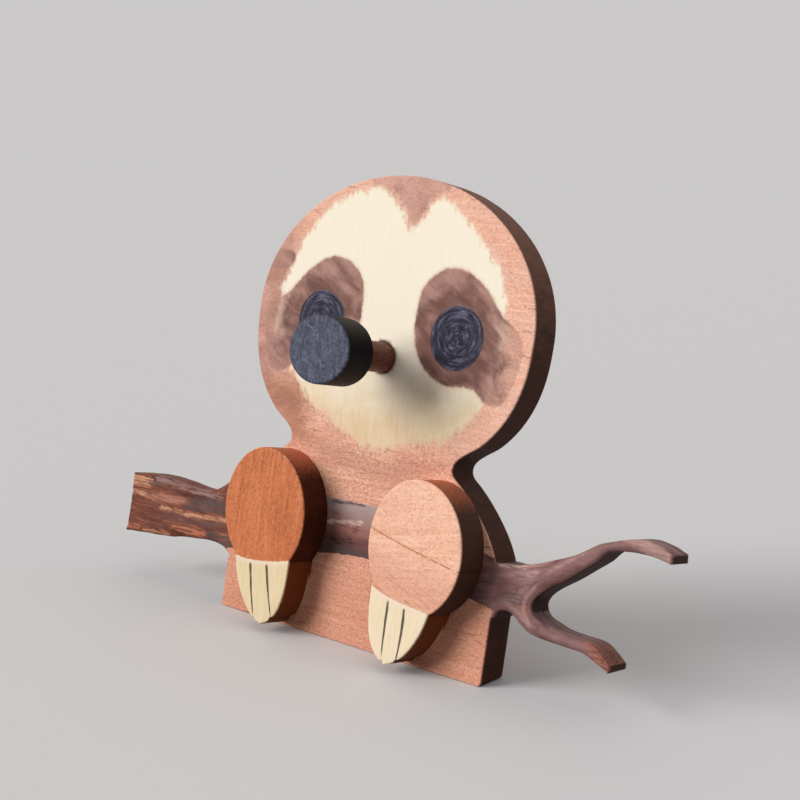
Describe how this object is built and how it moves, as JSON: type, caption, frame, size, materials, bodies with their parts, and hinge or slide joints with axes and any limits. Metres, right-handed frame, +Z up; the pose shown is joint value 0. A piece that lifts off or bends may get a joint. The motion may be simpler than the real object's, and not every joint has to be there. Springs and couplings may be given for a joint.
{
  "type": "eyeglasses display stand",
  "caption": "Free-standing wooden eyeglasses holder: a sawn plank figure of a sloth holding a branch, with a nose block on a dowel that carries the glasses' bridge.",
  "frame": {"origin": "middle of the plank's base face, on the table", "axes": "+X to the right as seen from the front, -Y to the front, +Z up"},
  "size_m": [0.225, 0.0689, 0.1534],
  "materials": {
    "board_wood": "stained softwood under a thin satin wash, hand-painted face and branch",
    "left_paw_wood": "orange-brown stain, cream painted claws",
    "right_paw_wood": "pale pinkish stain, cream painted claws",
    "nose_paint": "brushed dark grey acrylic paint on wood",
    "dowel_wood": "brown-stained hardwood dowel",
    "strut_wood": "stained softwood"
  },
  "bodies": {
    "root": {"board": "board_wood", "left_paw": "left_paw_wood", "right_paw": "right_paw_wood", "nose_block": "nose_paint", "nose_dowel": "dowel_wood", "rear_strut": "strut_wood"}
  },
  "joints": []
}
